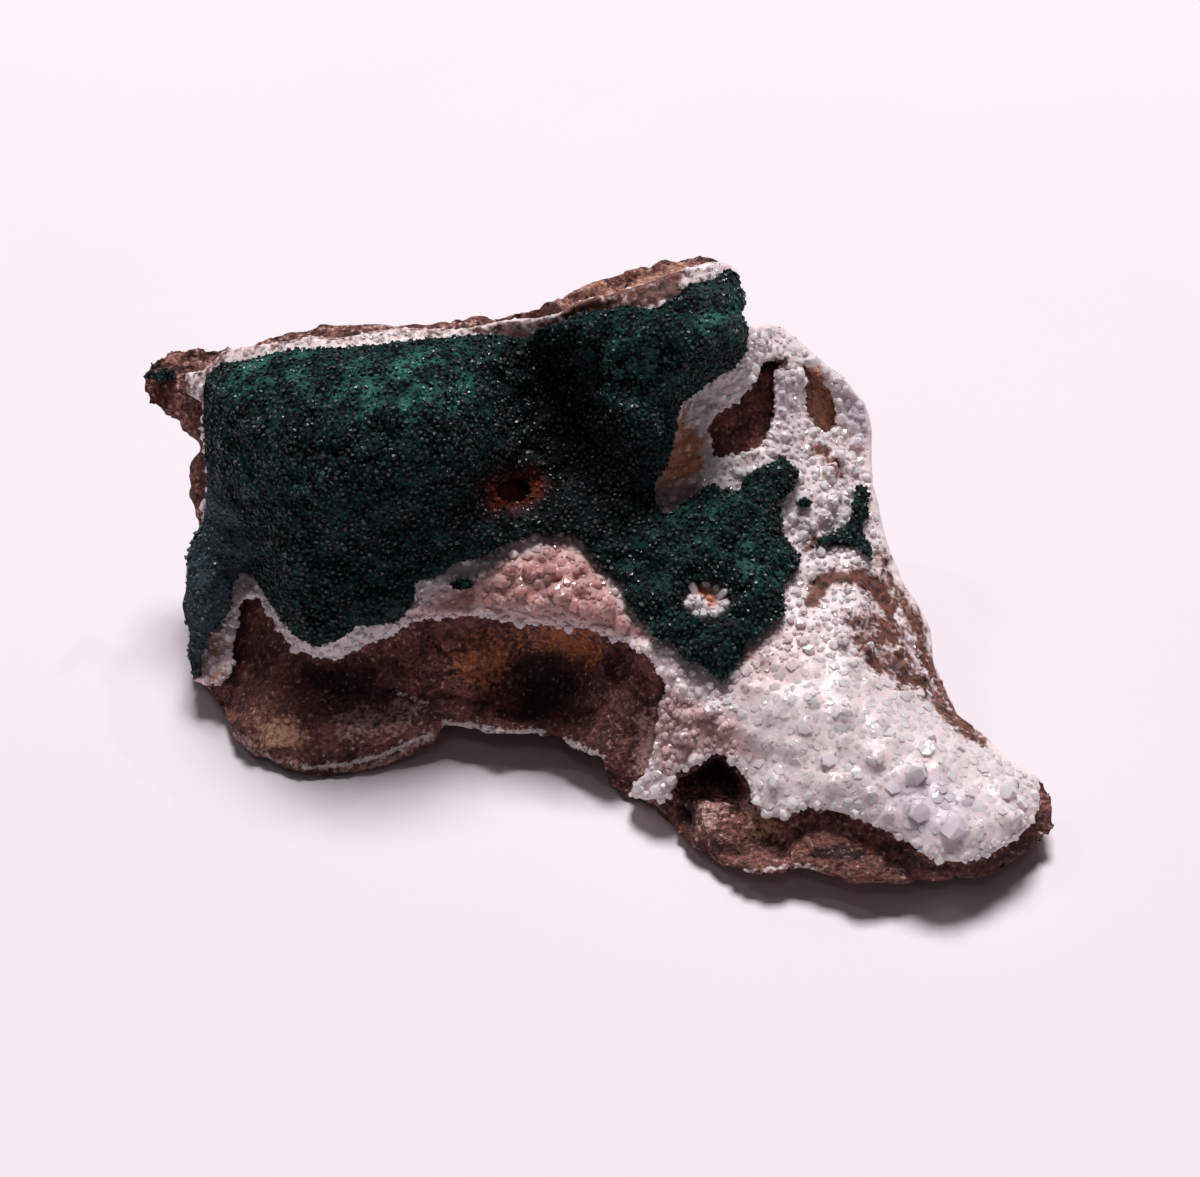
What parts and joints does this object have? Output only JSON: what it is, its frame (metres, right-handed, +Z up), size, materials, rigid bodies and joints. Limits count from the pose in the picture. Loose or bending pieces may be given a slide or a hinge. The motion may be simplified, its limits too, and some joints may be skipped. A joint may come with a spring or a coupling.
{
  "type": "ball malachite on quartz specimen",
  "caption": "Free-standing mineral hand specimen: brown host rock with a white quartz druse and a dark green lumpy malachite crust on its upper side, resting on its underside.",
  "frame": {"origin": "middle of the bounding box, on the plane of the three flats it rests on", "axes": "+X along the specimen from the horn to the tip of the arm, -Y towards the side that carries the hollowed front and the arm, +Z up"},
  "size_m": [0.061, 0.0372, 0.0277],
  "materials": {
    "brown_rock": "matte, earthy, broken",
    "quartz": "sparkling druse of small clear to milky points, pale pink to lilac",
    "malachite": "very dark green, finely grained, with small glints"
  },
  "bodies": {
    "root": {"rock_matrix": "brown_rock", "quartz_crust": "quartz", "malachite_crust": "malachite", "malachite_right_patch": "malachite", "malachite_small_spot": "malachite", "malachite_mound_spot": "malachite", "malachite_horn_stripe": "malachite"}
  },
  "joints": []
}
